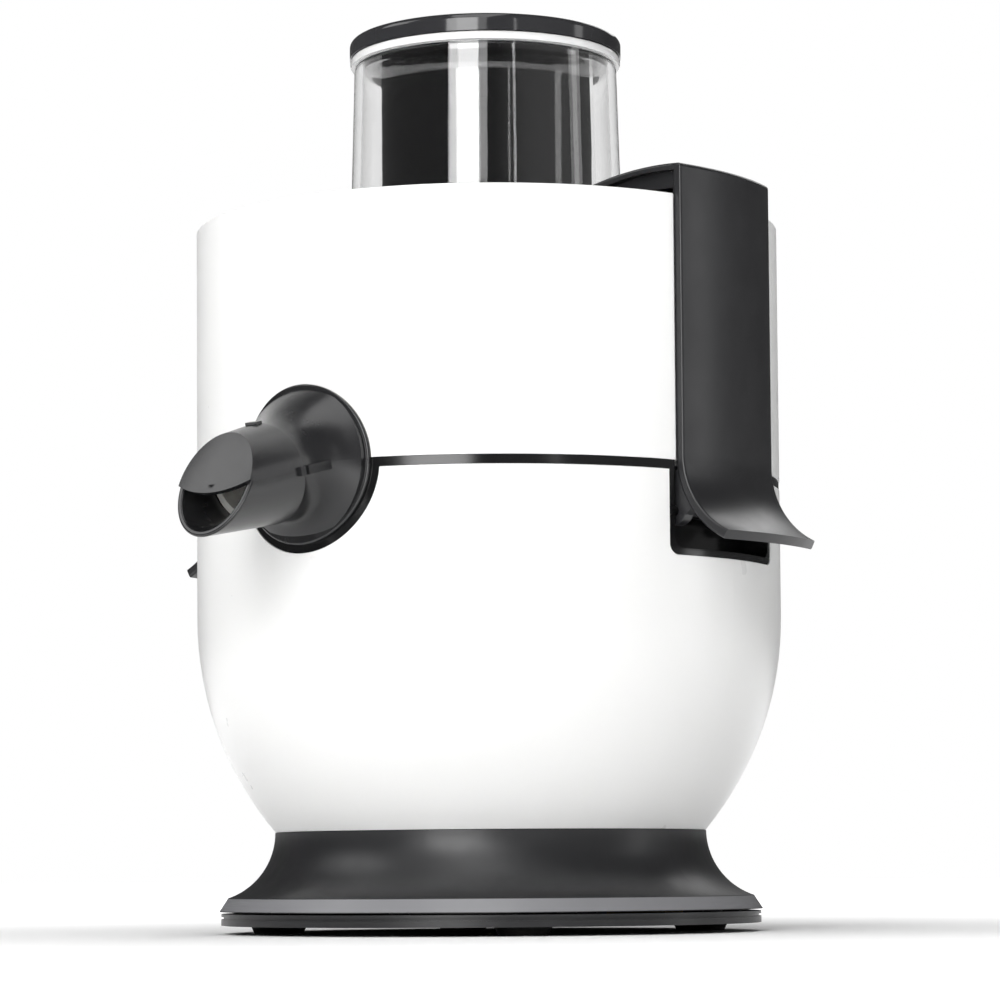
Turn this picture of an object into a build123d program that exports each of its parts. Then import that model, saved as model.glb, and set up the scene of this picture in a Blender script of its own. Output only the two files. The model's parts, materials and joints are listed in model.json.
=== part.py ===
from build123d import *
import os
from math import cos, radians, sin, sqrt

# A centrifugal juicer with a round body, as it comes apart on a bench, in millimetres.
# +Z is up, and the origin is on the spin axis in the plane that the feet stand on. The spout
# points to -Y, the two clamps are at +X and -X, and the speed knob is below the left clamp.

# Driving dimensions
BODY_R = 110.0  # outside radius of the lower shell and of the upper housing
SHELL_WALL = 2.6
TOTAL_H = 338.5
GAP = 0.3  # usual clearance between pieces that don't touch

# Heights of the seams, from the feet up
FEET_H = 3.2
PLATE_TOP = 7.6
FOOT_BASE = 8.3
SHELL_BASE = 37.8
SHELL_TOP = 164.6
BAND_TOP = 168.0
HOUSING_BASE = BAND_TOP + 0.1
HOUSING_TOP = 263.6
LEDGE_Z = 261.9  # the drum's rebate, where the lid's flange lies
FLANGE_TOP = 264.5
TUBE_TOP = 331.5

# Lower shell: straight above the waist, below it an arc about (BELLY_X, WAIST)
WAIST = 118.0
BELLY_R = 125.0
BELLY_X = BODY_R - BELLY_R

# Flared foot
FOOT_TOP_R = 81.0
FLARE_R = 25.7
FLARE_END = 13.4  # height where the flare turns into the chamfer
FOOT_R = 102.0
FEET_AT = 80.0  # radius of the circle that the four feet stand on

# Inner frame
DECK_TOP = 157.5
DECK = 3.5
BAND_R = 109.7
BAND_INNER = 104.5
TOWER_R = 22.0

# Clamps, in radius and height, for the one at +X
CLAMP_HALF = 29.2
CLAMP_IN = 108.9
CLAMP_OUT = 112.4
TAIL_TOP = 170.0
TAIL_R = 31.2
TAIL_ANGLE = 64.0
POCKET_HALF = 32.7
POCKET_BASE = 134.4
POCKET_BACK = 92.0
POCKET_WALL = 2.4
PIVOT = (104.0, 150.0)
PIVOT_R = 2.0
LUG_Y = 26.4
LUG_T = 5.0
PLUNGER_Z = 162.0
PLUNGER_R = 2.0

# Spout: its axis leaves the housing's face on the centre line and falls towards the front
SPOUT_Z = 167.1
SPOUT_FALL = 14.0
BELL_R = 28.6
BELL_END = 20.6
DUCT_R = 15.0
DUCT_BORE = 12.5
DUCT_END = 31.5
NOZZLE_START = 21.0
NOZZLE_R = 18.1
MOUTH_AT = 48.2  # where the mouth's slanted plane crosses the axis
MOUTH_R = 16.3
MOUTH_TILT = 36.0
COVER_T = 1.8
COVER_DOME = 160.0
COVER_RISE = 1.75  # how far the cover's dome rises past the mouth's plane
NECK_R = 16.9  # the collar's neck, a step smaller than the nozzle that turns on it
RIB_HALF = 1.6

# Lid, feed tube and pusher
LID_R = 107.0
TUBE_R = 49.9
TUBE_FOOT_R = 51.6
TUBE_WALL = 3.2
CHUTE_R = 41.0
CHUTE_WALL = 2.4
CHUTE_END = 214.0
PUSHER_R = 39.6
PLUG_R = 46.2
CAP_R = 51.7
PUSHER_TOP = TUBE_TOP + GAP

# Collector, basket and disc
BOWL_R = 72.0
BOWL_FLOOR = 166.0
BOWL_TOP = 236.0
DISC_Z = 209.0
DISC_R = 48.0

# Motor
SHAFT_R = 4.0
BEARING_R = 11.0
BEARING_W = 7.0
STACK = (86.0, 122.0)
ARMATURE_R = 22.9
STATOR_BORE = 24.0
COMMUTATOR_R = 13.0
MOTOR_BOLTS = [(x, y) for x in (-36.0, 36.0) for y in (-30.0, 30.0)]

# Speed knob
KNOB_Z = 92.0
KNOB_R = 17.0
BEZEL_R = 21.0

MIN_Z = (Align.CENTER, Align.CENTER, Align.MIN)
SIDES = {"left": -1, "right": 1}


def rod(radius, z0, z1, x=0.0, y=0.0):
    """A round bar along Z."""
    return Pos(x, y, z0) * Cylinder(radius, z1 - z0, align=MIN_Z)


def ring(outer, inner, z0, z1):
    """A plain round tube along Z."""
    return rod(outer, z0, z1) - rod(inner, z0 - 1, z1 + 1)


def block(x, y, z):
    """A box from three (low, high) pairs."""
    size = [high - low for low, high in (x, y, z)]
    return Pos(x[0], y[0], z[0]) * Box(*size, align=(Align.MIN,) * 3)


def rod_x(radius, x0, x1, y, z):
    """A round bar along X."""
    return Pos(x0, y, z) * Rot(0, 90, 0) * Cylinder(radius, x1 - x0, align=MIN_Z)


def rod_y(radius, y0, y1, x, z):
    """A round bar along Y."""
    return Pos(x, y0, z) * Rot(-90, 0, 0) * Cylinder(radius, y1 - y0, align=MIN_Z)


def outline(start, *steps):
    """A flat face: each step is a point, or a pair (a point on the arc, its end)."""
    edges, here = [], start
    for step in (*steps, start):
        if isinstance(step[0], tuple):
            edges.append(ThreePointArc(here, *step))
            here = step[1]
        elif step != here:
            edges.append(Line(here, step))
            here = step
    return make_face(edges)


def turned(start, *steps):
    """The solid that an outline in (radius, height) sweeps about Z."""
    return revolve(Plane.XZ * outline(start, *steps), Axis.Z, 360)


def on_circle(centre, radius, angle):
    """A point of a circle, by its angle in degrees."""
    return (centre[0] + radius * cos(radians(angle)), centre[1] + radius * sin(radians(angle)))


def belly(radius, z):
    """The radius at height z of the belly's arc, drawn with the given arc radius."""
    return BELLY_X + sqrt(radius**2 - (z - WAIST) ** 2)


def flare(radius, z):
    """The radius at height z of the foot's flare, drawn with the given arc radius."""
    return FOOT_TOP_R + FLARE_R - sqrt(radius**2 - (z - SHELL_BASE) ** 2)


def mirror_side(shape, side):
    """The shape as it is for the right side, or turned half round for the left."""
    return shape if side > 0 else Rot(0, 0, 180) * shape


SPOUT = Plane(
    origin=(0, -BODY_R, SPOUT_Z),
    x_dir=(1, 0, 0),
    z_dir=(0, -cos(radians(SPOUT_FALL)), -sin(radians(SPOUT_FALL))),
)


def envelope():
    """The lower shell's outer shape, filled in."""
    middle = (SHELL_BASE + WAIST) / 2
    return turned(
        (0, SHELL_BASE),
        (belly(BELLY_R, SHELL_BASE), SHELL_BASE),
        ((belly(BELLY_R, middle), middle), (BODY_R, WAIST)),
        (BODY_R, SHELL_TOP),
        (0, SHELL_TOP),
    )


def pocket_block(half, base, back, radius):
    """The room of a clamp's pocket at +X, bounded by the body's round face."""
    room = block((back, BODY_R + 20), (-half, half), (base, BAND_TOP + 5))
    room = fillet(room.edges().filter_by(Axis.X).group_by(Axis.Z)[0], 4.0)
    return room & rod(radius, base - 1, BAND_TOP + 6)


def lower_shell():
    inner = BELLY_R - SHELL_WALL
    middle = (SHELL_BASE + WAIST) / 2
    hollow = turned(
        (0, SHELL_BASE - 1),
        (belly(inner, SHELL_BASE), SHELL_BASE - 1),
        (belly(inner, SHELL_BASE), SHELL_BASE),
        ((belly(inner, middle), middle), (BODY_R - SHELL_WALL, WAIST)),
        (BODY_R - SHELL_WALL, SHELL_TOP + 1),
        (0, SHELL_TOP + 1),
    )
    shell = envelope() - hollow
    cut = pocket_block(POCKET_HALF + 0.2, POCKET_BASE - 0.2, POCKET_BACK, BODY_R + 10)
    for side in SIDES.values():
        shell -= mirror_side(cut, side)
    shell -= rod_y(31.6, -BODY_R - 5, -90, 0, SPOUT_Z)
    return shell - rod_x(6.0, -BODY_R - 5, -90, 0, KNOB_Z)


def flared_foot():
    inner = FLARE_R + SHELL_WALL
    low = 11.4
    half = (SHELL_BASE + FLARE_END) / 2
    top = SHELL_BASE - 0.2
    wall = turned(
        (FOOT_TOP_R, top),
        ((flare(FLARE_R, half), half), (flare(FLARE_R, FLARE_END), FLARE_END)),
        (FOOT_R, FOOT_BASE),
        (FOOT_R - 3.2, FOOT_BASE),
        (flare(inner, low), low),
        ((flare(inner, half), half), (FOOT_TOP_R - SHELL_WALL, top)),
    )
    lip = ring(76.9, 74.4, 34.0, 44.0) + ring(FOOT_TOP_R - SHELL_WALL + 0.8, 74.4, 34.0, 36.4)
    niche = rod_y(11.0, 80.0, 110.0, 0, 23.0)
    pad = rod_y(13.0, 80.5, 83.0, 0, 23.0)
    body = wall + lip + ring(94.0, 84.5, 11.8, 13.2) - niche + pad
    body += [rod(3.6, PLATE_TOP - 1.8, 13.0, *at) for at in base_screw_places()]
    body -= rod_y(7.1, 70.0, 90.0, 0, 23.0)
    return body - [rod(1.25, 5.0, 14.0, *at) for at in base_screw_places()]


def base_screw_places():
    """Where the four screws go up through the bottom plate, between the feet."""
    return [on_circle((0, 0), 87.5, angle) for angle in (15, 105, 195, 285)]


def bottom_plate():
    plate = rod(FOOT_R - 0.7, FEET_H, 5.8) + ring(FOOT_R - 0.7, 95.0, 5.8, PLATE_TOP)
    plate -= ring(FOOT_R, FOOT_R - 1.6, 5.6, 6.5)
    vent = Pos(38, 0, 4.5) * extrude(SlotOverall(26, 3.2), 4, both=True)
    for angle in range(0, 360, 20):
        plate -= Rot(0, 0, angle) * vent
    for at in base_screw_places():
        plate -= rod(1.7, 2, 9, *at) + rod(3.4, 2, 4.6, *at)
    return plate


def rubber_foot(x, y):
    return Pos(x, y, 0) * turned((3.0, 0), (9.0, 0), (10.5, FEET_H), (0, FEET_H), (0, 1.0), (3.0, 1.0))


def base_screws():
    screw = rod(3.0, FEET_H + 0.1, 4.6) + rod(1.25, 4.6, 12.5)
    return [Pos(*at, 0) * screw for at in base_screw_places()]


def cord_gland():
    """The bush that the power cord leaves by, a plain grommet at the back of the foot."""
    bush = rod_y(7.0, 78.5, 83.0, 0, 23.0) + rod_y(9.0, 83.0, 85.2, 0, 23.0)
    bush += rod_y(8.6, 77.0, 78.5, 0, 23.0)
    return bush - rod_y(3.7, 70.0, 90.0, 0, 23.0)


def inner_frame():
    """Deck, black band, clamp pockets, spout notch and the tower round the shaft."""
    frame = ring(BAND_R, BAND_INNER, SHELL_TOP + 0.2, BAND_TOP)
    frame += ring(BODY_R - SHELL_WALL - 0.2, BAND_INNER, DECK_TOP - DECK, SHELL_TOP + 0.2)
    frame += ring(BAND_INNER + 1, TOWER_R - 1, DECK_TOP - DECK, DECK_TOP)
    frame += ring(TOWER_R, 17.5, 146.0, 176.0)
    pocket = pocket_block(POCKET_HALF, POCKET_BASE, POCKET_BACK, BAND_R) & rod(200, 0, BAND_TOP)
    room = pocket_block(
        POCKET_HALF - POCKET_WALL, POCKET_BASE + POCKET_WALL, POCKET_BACK + 2.5, BODY_R + 10
    )
    holes = rod_y(PIVOT_R, -40, 40, *PIVOT) + rod_x(2.1, 80, 100, 0, PLUNGER_Z)
    for side in SIDES.values():
        frame += mirror_side(pocket, side)
    for side in SIDES.values():
        frame -= mirror_side(room + holes, side)
    notch = rod_y(31.4, -BODY_R - 5, -79.5, 0, SPOUT_Z)
    well = rod_y(27.8, -BODY_R - 6, -82.0, 0, SPOUT_Z)
    frame += notch & rod(BAND_R, 130, DECK_TOP) - rod(79.0, 100, 200)
    frame += notch & ring(BAND_R, BAND_INNER, 130, BAND_TOP)
    frame -= well
    for x, y in MOTOR_BOLTS:
        frame += rod(5.5, 149.6, DECK_TOP - DECK + 1, x, y) - rod(2.0, 149.0, 153.0, x, y)
    return frame


def upper_housing():
    """The white drum that catches the pulp, with the half-round tab behind the spout."""
    floor = (HOUSING_BASE, HOUSING_BASE + 2.5)
    drum = ring(BODY_R, 106.5, HOUSING_BASE, HOUSING_TOP)
    drum = fillet(drum.edges().filter_by(GeomType.CIRCLE).sort_by(Axis.Z)[-1:], 0.9)
    drum += ring(107.0, 73.0, *floor)
    drum -= rod(LID_R + 0.3, LEDGE_Z, HOUSING_TOP + 1)
    tab = rod_y(27.5, -BODY_R - 5, -100, 0, SPOUT_Z) & ring(BODY_R, 106.5, 130, HOUSING_BASE + 1)
    drum += tab
    seat = block((100, 120), (-30, 30), (HOUSING_BASE - 1, HOUSING_TOP + 1)) - rod(108.5, 100, 300)
    for side in SIDES.values():
        drum -= mirror_side(seat, side)
    return drum - SPOUT * rod(DUCT_R + 0.4, -60, 10)


def juice_collector():
    """The bowl round the basket, with the duct that carries the juice to the spout."""
    bowl = ring(BOWL_R, BOWL_R - 2.5, BOWL_FLOOR, BOWL_TOP)
    bowl += ring(BOWL_R, 22.8, BOWL_FLOOR, BOWL_FLOOR + 2.5)
    bowl += ring(25.3, 22.8, BOWL_FLOOR, 194.0)
    bowl += ring(76.0, BOWL_R - 1, HOUSING_BASE + 2.6, HOUSING_BASE + 4.6)
    duct = SPOUT * rod(DUCT_R, -44, DUCT_END)
    duct -= rod(BOWL_R - 1.2, BOWL_FLOOR + 1, 230)
    duct -= rod(57, 100, 200)
    bowl += duct
    return bowl - SPOUT * rod(DUCT_BORE, -42, DUCT_END + 1)


def spout_bell():
    """The black trumpet-shaped collar: its flange hugs the drum, and its neck takes the spout's fall."""
    stations = [
        (-12.0, 27.4, 0),
        (0.4, 27.4, 0),
        (3.2, 24.2, 0.2),
        (7.0, 20.7, 0.5),
        (13.0, 17.7, 0.8),
        (BELL_END, NECK_R, 1.0),
    ]
    sections = []
    for reach, radius, share in stations:
        turn = SPOUT_FALL * share
        centre = (0, -BODY_R - reach * cos(radians(turn)), SPOUT_Z - max(reach, 0) * sin(radians(turn)))
        facing = (0, -cos(radians(turn)), -sin(radians(turn)))
        sections.append(Plane(origin=centre, x_dir=(1, 0, 0), z_dir=facing) * Circle(radius))
    bell = loft(sections[1:]) + extrude(sections[0], 12.4)
    flange = rod_y(BELL_R, -BODY_R - 5, -100, 0, SPOUT_Z) & rod(BODY_R + 1.4, 100, 250)
    bell += fillet(flange.edges().filter_by(lambda e: e.center().Y < -BODY_R + 6), 0.6)
    bell -= rod(BODY_R + 0.15, 100, 300) + SPOUT * rod(DUCT_R + 0.3, -20, 60)
    rib = SPOUT * block((14.0, NOZZLE_R + 1.9), (-RIB_HALF, RIB_HALF), (8.0, BELL_END))
    return bell + (rib - SPOUT * rod(16.0, 0, 40))


def spout_seal():
    return SPOUT * (rod(DUCT_R + 0.2, 21.0, 23.0) - rod(DUCT_R, 0, 60))


def spout_nozzle():
    """The turning nozzle: its mouth is cut slanting, and a domed wall closes the upper part."""
    reach = 68.0
    end_r = MOUTH_R - 1.1
    cone = turned((0, NOZZLE_START), (NOZZLE_R, NOZZLE_START), (end_r, reach), (0, reach))
    bore = turned(
        (0, NOZZLE_START - 1),
        (DUCT_R + 0.35, NOZZLE_START - 1),
        (DUCT_R + 0.35, DUCT_END + 0.5),
        (DUCT_R - 0.3, DUCT_END + 1.0),
        (end_r - 1.8, reach + 1),
        (0, reach + 1),
    )
    mouth = Plane(
        origin=(0, 0, MOUTH_AT),
        x_dir=(1, 0, 0),
        z_dir=(0, sin(radians(MOUTH_TILT)), cos(radians(MOUTH_TILT))),
    )
    tube = cone - bore - mouth * Box(120, 120, 60, align=MIN_Z)
    rim = tube.edges().filter_by(lambda e: abs(mouth.to_local_coords(e.center()).Z) < 0.01)
    tube = fillet(rim, 0.7)
    dome = Pos(0, 0, COVER_RISE - COVER_DOME) * Sphere(COVER_DOME)
    dome -= Pos(0, 0, COVER_RISE - COVER_T - COVER_DOME) * Sphere(COVER_DOME)
    dome &= Pos(0, 0, -8) * Box(80, 80, 20, align=MIN_Z)
    edge = outline(
        (-30, 1.5), (-17, 1.5), ((0, -3.1), (17, 1.5)), (30, 1.5), (30, -30), (-30, -30)
    )
    cover = mouth * (dome - extrude(edge, 12, both=True)) & cone
    key = block((-2.6, 2.6), (NOZZLE_R - 1.5, NOZZLE_R + 0.7), (NOZZLE_START, NOZZLE_START + 3.0))
    ridge_top = NOZZLE_START + 3.0
    ridge = block((NOZZLE_R - 1.5, NOZZLE_R + 1.2), (-RIB_HALF, RIB_HALF), (NOZZLE_START, ridge_top))
    return SPOUT * (tube + cover + key + ridge)


def lid():
    """The clear lid: flange, locating ring, feed tube above and chute below."""
    dome_r, dome_z = 53.0, FLANGE_TOP + 1.6
    inner_top = TUBE_R - TUBE_WALL
    inner_foot = TUBE_FOOT_R - TUBE_WALL
    return turned(
        (CHUTE_R, CHUTE_END),
        (CHUTE_R + CHUTE_WALL, CHUTE_END),
        (CHUTE_R + CHUTE_WALL, 261.6),
        (46.5, 263.6),
        (96.0, LEDGE_Z + 0.3),
        (102.4, LEDGE_Z + 0.3),
        (102.4, 256.5),
        (104.6, 256.5),
        (104.6, LEDGE_Z + 0.1),
        (LID_R, LEDGE_Z + 0.1),
        ((LID_R - 0.3, FLANGE_TOP - 0.4), (LID_R - 1.2, FLANGE_TOP)),
        (96.0, FLANGE_TOP),
        (dome_r, dome_z),
        (TUBE_FOOT_R, dome_z + 1.4),
        (TUBE_R, TUBE_TOP - 2.8),
        (CAP_R - 0.6, TUBE_TOP - 2.8),
        ((CAP_R - 0.2, TUBE_TOP - 1.4), (CAP_R - 0.6, TUBE_TOP)),
        (inner_top, TUBE_TOP),
        (inner_foot, 268.5),
        (CHUTE_R, 262.5),
    )


def lid_seal():
    """The soft ring that the lid's locating ring carries against the drum."""
    return ring(106.4, 104.6, 258.0, 260.6)


def pusher_body():
    """The plunger: a hollow barrel under a wider plug, with a closed foot."""
    plug_base = 326.0
    barrel = turned(
        (0, 214.6),
        (PUSHER_R + 0.8, 214.6),
        (PUSHER_R + 0.8, 219.0),
        (PUSHER_R, 220.5),
        (PUSHER_R, 318.6),
        ((PUSHER_R + 2.0, 324.0), (PLUG_R, plug_base)),
        (PLUG_R, PUSHER_TOP),
        (0, PUSHER_TOP),
    )
    return barrel - rod(PUSHER_R - 2.6, 217.4, 340)


def pusher_cap():
    """The knob-like round cap that rests just over the feed tube's rim."""
    cap = rod(CAP_R, PUSHER_TOP, TOTAL_H)
    edges = cap.edges().filter_by(GeomType.CIRCLE).sort_by(Axis.Z)
    cap = fillet(edges[-1:], 2.2)
    return cap - rod(CAP_R - 3.0, TOTAL_H - 0.5, TOTAL_H + 1) + rod(CAP_R - 4.5, TOTAL_H - 1.5, TOTAL_H)


def clamp(side):
    """A side clamp: curved plate, arm over the lid, flared tail, hinge cheeks and switch boss."""
    centre = (CLAMP_OUT + TAIL_R, TAIL_TOP)
    under = TAIL_R + CLAMP_OUT - CLAMP_IN
    turn = 180 + TAIL_ANGLE
    skin = turned(
        (CLAMP_IN, TAIL_TOP),
        (on_circle(centre, under, 180 + TAIL_ANGLE / 2), on_circle(centre, under, turn)),
        on_circle(centre, TAIL_R, turn),
        (on_circle(centre, TAIL_R, 180 + TAIL_ANGLE / 2), (CLAMP_OUT, TAIL_TOP)),
        (CLAMP_OUT, 273.2),
        ((CLAMP_OUT - 0.5, 274.3), (CLAMP_OUT - 1.7, 274.8)),
        ((95.0, 274.6), (66.5, 268.4)),
        (66.5, 266.4),
        (70.0, 266.4),
        ((95.0, 272.2), (CLAMP_IN, 272.4)),
    )
    body = skin & block((0, 150), (-CLAMP_HALF, CLAMP_HALF), (100, 300))
    body = fillet(body.edges().filter_by(on_clamp_corner), 0.9)
    webs = ring(98.0, 95.8, FLANGE_TOP + GAP, 273.4) + ring(109.4, 106.6, FLANGE_TOP + GAP, 273.4)
    body += webs & block((0, 150), (-CLAMP_HALF + 3, CLAMP_HALF - 3), (100, 300))
    for y in (-CLAMP_HALF + 4.0, CLAMP_HALF - 4.0):
        cheek = outline((66.6, 266.6), (107.0, 266.6), (107.0, 273.0), (90.0, 272.6), (66.6, 267.6))
        body += Pos(0, y, 0) * extrude(Plane.XZ * cheek, 1.0, both=True)
    px, pz = PIVOT
    lug_face = outline((px, pz + 5), (px + 1, 164), (107, 166), (109, 156), (111.5, 150.5), (px, pz - 5))
    for y in (-LUG_Y, LUG_Y):
        web = Pos(0, y, 0) * extrude(Plane.XZ * lug_face, LUG_T / 2, both=True)
        body += web + rod_y(5.0, y - LUG_T / 2, y + LUG_T / 2, px, pz)
    body += rod_x(3.0, 98.8, 110.4, 0, PLUNGER_Z)
    body -= rod_y(PIVOT_R + 0.1, -40, 40, px, pz)
    return mirror_side(body, side)


def on_clamp_corner(edge):
    """Whether an edge is a long outer corner of the clamp's plate or tail."""
    at = edge.center()
    outer = at.X**2 + at.Y**2 > (CLAMP_OUT - 0.6) ** 2
    return outer and abs(abs(at.Y) - CLAMP_HALF) < 0.1 and at.Z < 273 and edge.length > 8


def pivot_pins():
    """The two steel pins that the clamps turn on."""
    pin = rod_y(PIVOT_R, -POCKET_HALF, POCKET_HALF, *PIVOT)
    return [mirror_side(pin, side) for side in SIDES.values()]


def interlock_plunger(side):
    """The rod that the closed clamp pushes in to let the motor run."""
    rod_in = POCKET_BACK - 0.1
    plunger = rod_x(PLUNGER_R, rod_in, 98.5, 0, PLUNGER_Z)
    return mirror_side(plunger, side)


def interlock_switch(side):
    """The sealed switch behind a pocket's back wall."""
    case = block((81.5, POCKET_BACK - 0.4), (-10, 10), (DECK_TOP, DECK_TOP + 9.5))
    case -= rod_x(PLUNGER_R + 0.2, 88.0, 95.0, 0, PLUNGER_Z)
    for y in (-7.0, 0.0, 7.0):
        case += block((77.0, 81.5), (y - 1.5, y + 1.5), (159.0, 159.8))
    return mirror_side(case, side)


def drive_coupling():
    """The toothed driver on the shaft's top, that the basket's hub drops over."""
    body = rod(10.5, 180.0, 196.0)
    for angle in range(0, 360, 60):
        body += Rot(0, 0, angle) * block((9.0, 12.0), (-2.0, 2.0), (180.0, 194.5))
    body += rod(14.5, 178.0, 180.0)
    return body - rod(SHAFT_R, 170.0, 190.0)


def basket_hub():
    """The basket's plastic floor with the socket for the coupling."""
    body = rod(50.0, 206.6, DISC_Z) + rod(17.0, 184.0, 207.0) + ring(31.0, 28.6, 200.0, 207.0)
    body -= rod(10.8, 180.0, 196.4)
    for angle in range(0, 360, 60):
        body -= Rot(0, 0, angle) * block((8.0, 12.4), (-2.4, 2.4), (180.0, 195.0))
    for angle in range(0, 360, 45):
        body += Rot(0, 0, angle) * block((16.0, 29.5), (-0.8, 0.8), (200.0, 207.0))
    return body


def strainer_mesh():
    """The basket's sloping wall of fine steel mesh, drawn as a plain thin cone."""
    return turned((50.4, 207.5), (51.0, 207.5), (67.2, 241.0), (66.6, 241.0))


def basket_rim():
    return turned(
        (66.0, 241.0),
        (70.6, 241.0),
        (74.8, 238.0),
        (75.6, 238.8),
        (75.0, 244.0),
        (73.0, 246.0),
        (66.0, 246.0),
    )


def grater_disc():
    """The toothed disc that shreds the fruit, with rows of small raised teeth."""
    disc = rod(DISC_R, DISC_Z, DISC_Z + 1.2) - rod(5.0, 200, 220)
    tooth = Wedge(2.4, 1.1, 1.6, 1.0, 0.3, 1.6, 1.3)
    teeth = []
    for arm in range(12):
        for row in range(6):
            place = Rot(0, 0, arm * 30 + row * 7) * Pos(14.0 + row * 6.0, 0, DISC_Z + 1.7)
            teeth.append(place * Rot(90, 0, 0) * tooth)
    return disc + teeth


def disc_nut():
    """The domed nut that holds disc and mesh on the hub."""
    top = DISC_Z + 5.2
    dome = rod(8.0, DISC_Z + 1.2, top)
    dome = fillet(dome.edges().filter_by(GeomType.CIRCLE).sort_by(Axis.Z)[-1:], 2.5)
    return dome + rod(4.9, DISC_Z, DISC_Z + 1.3)


def motor_shaft():
    return rod(SHAFT_R, 53.0, 188.0)


def bearing(z0):
    """A 22 by 8 by 7 mm ball bearing: outer and inner race, and the shields between."""
    z1 = z0 + BEARING_W
    races = ring(BEARING_R, 9.4, z0, z1) + ring(9.4, 5.9, z0 + 0.5, z1 - 0.5)
    return races + ring(5.9, SHAFT_R + 0.03, z0, z1)


def armature_core():
    core = ring(ARMATURE_R, SHAFT_R, *STACK)
    for angle in range(0, 360, 30):
        slot = block((14.5, 25.0), (-1.1, 1.1), (STACK[0] - 1, STACK[1] + 1))
        core -= Rot(0, 0, angle) * (slot + rod(2.6, STACK[0] - 1, STACK[1] + 1, 15.5))
    return core


def armature_windings():
    """The end turns above and below the core, and the wire in its slots."""
    wire = ring(19.5, 7.0, STACK[1], STACK[1] + 7.5) + ring(19.5, 7.0, STACK[0] - 7.5, STACK[0])
    wire = fillet(wire.edges().filter_by(GeomType.CIRCLE).group_by(Axis.Z)[-1], 2.5)
    for angle in range(0, 360, 30):
        wire += Rot(0, 0, angle) * rod(2.4, STACK[0] - 0.5, STACK[1] + 0.5, 15.5)
    return wire


def commutator():
    z0, z1 = 65.0, STACK[0] - 8.0
    body = ring(COMMUTATOR_R, SHAFT_R, z0, z1)
    for angle in range(0, 360, 15):
        body -= Rot(0, 0, angle) * block((11.8, 14.0), (-0.3, 0.3), (z0 - 1, z1 - 2.0))
    return body


def cooling_fan():
    fan = rod(37.0, 130.5, 132.0) + rod(9.0, 130.5, 138.0) - rod(SHAFT_R, 120, 150)
    for angle in range(0, 360, 30):
        fan += Rot(0, 0, angle) * block((8.0, 37.0), (-0.8, 0.8), (131.5, 138.0))
    return fan


def motor_stator():
    """The square stack of laminations with its bore, coil windows and bolt holes."""
    z0, z1 = STACK
    stack = block((-43, 43), (-37, 37), (z0, z1))
    stack = fillet(stack.edges().filter_by(Axis.Z), 7.0)
    stack -= rod(STATOR_BORE, z0 - 1, z1 + 1)
    for sx in (-1, 1):
        for sy in (-1, 1):
            window = block((16.0, 29.0), (12.0, 27.0), (z0 - 1, z1 + 1))
            stack -= flipped(window, sx, sy)
    for x, y in MOTOR_BOLTS:
        stack -= rod(2.4, z0 - 1, z1 + 1, x, y)
    return stack


def flipped(shape, sx, sy):
    """The shape mirrored to the quarter with the given signs."""
    if sx < 0:
        shape = mirror(shape, Plane.YZ)
    if sy < 0:
        shape = mirror(shape, Plane.XZ)
    return shape


def field_coil(sign):
    """A copper coil round one pole, standing out above and below the stack."""
    z0, z1 = STACK[0] - 8.0, STACK[1] + 7.0
    coil = block((-28.5, 28.5), (20.0, 26.5), (z0, z1))
    coil = fillet(coil.edges().filter_by(Axis.Y), 5.0)
    coil -= block((-16.5, 16.5), (10.0, 40.0), (STACK[0] - 0.3, STACK[1] + 0.3))
    coil -= rod(STATOR_BORE, z0 - 1, z1 + 1)
    return coil if sign > 0 else Rot(0, 0, 180) * coil


def bracket(z0, seat_z, legs):
    """A motor end bracket: a bearing seat with four arms to the bolts."""
    z1 = z0 + 4.0
    body = rod(15.0, min(z0, seat_z), max(z1, seat_z + BEARING_W))
    for x, y in MOTOR_BOLTS:
        reach = sqrt(x * x + y * y)
        turn = Vector(x, y).get_angle(Vector(1, 0)) * (1 if y > 0 else -1)
        body += Rot(0, 0, turn) * block((0, reach), (-5.0, 5.0), (z0, z1))
        body += rod(6.5, min(z0, legs[0]), max(z1, legs[1]), x, y)
        body -= rod(2.05, 0, 200, x, y)
    body -= rod(BEARING_R, seat_z, seat_z + BEARING_W)
    return body - rod(9.0, 0, 200)


def motor_upper_bracket():
    return bracket(139.5, 141.0, (STACK[1], 143.5))


def motor_lower_bracket():
    return bracket(56.0, 56.0, (56.0, STACK[0]))


def motor_bolts():
    bolt = rod(2.0, 53.0, 152.5) + rod(3.6, 53.0, 55.9)
    return [Pos(x, y, 0) * bolt for x, y in MOTOR_BOLTS]


def motor_mounts():
    """The four rubber bushes between the motor and the frame's posts."""
    return [rod(6.5, 143.5, 149.6, x, y) - rod(2.05, 140, 155, x, y) for x, y in MOTOR_BOLTS]


def brush_holder(side):
    """A brass box that guides one brush, on an arm of the lower bracket's side."""
    holder = block((14.5, 38.0), (-5.0, 5.0), (67.0, 77.0))
    holder -= block((14.0, 36.5), (-3.6, 3.6), (68.4, 75.6))
    return mirror_side(holder, side)


def carbon_brush(side):
    brush = block((10.0, 28.0), (-3.4, 3.4), (68.6, 75.4)) - rod(COMMUTATOR_R + 0.12, 50, 90)
    return mirror_side(brush, side)


def brush_spring(side):
    """The coil spring that presses a brush on the commutator."""
    wire = Helix(pitch=1.7, height=7.8, radius=2.4)
    coil = sweep(Plane(wire @ 0, z_dir=wire % 0) * Circle(0.35), path=wire)
    return mirror_side(Pos(28.35, 0, 72.0) * Rot(0, 90, 0) * coil, side)


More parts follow.
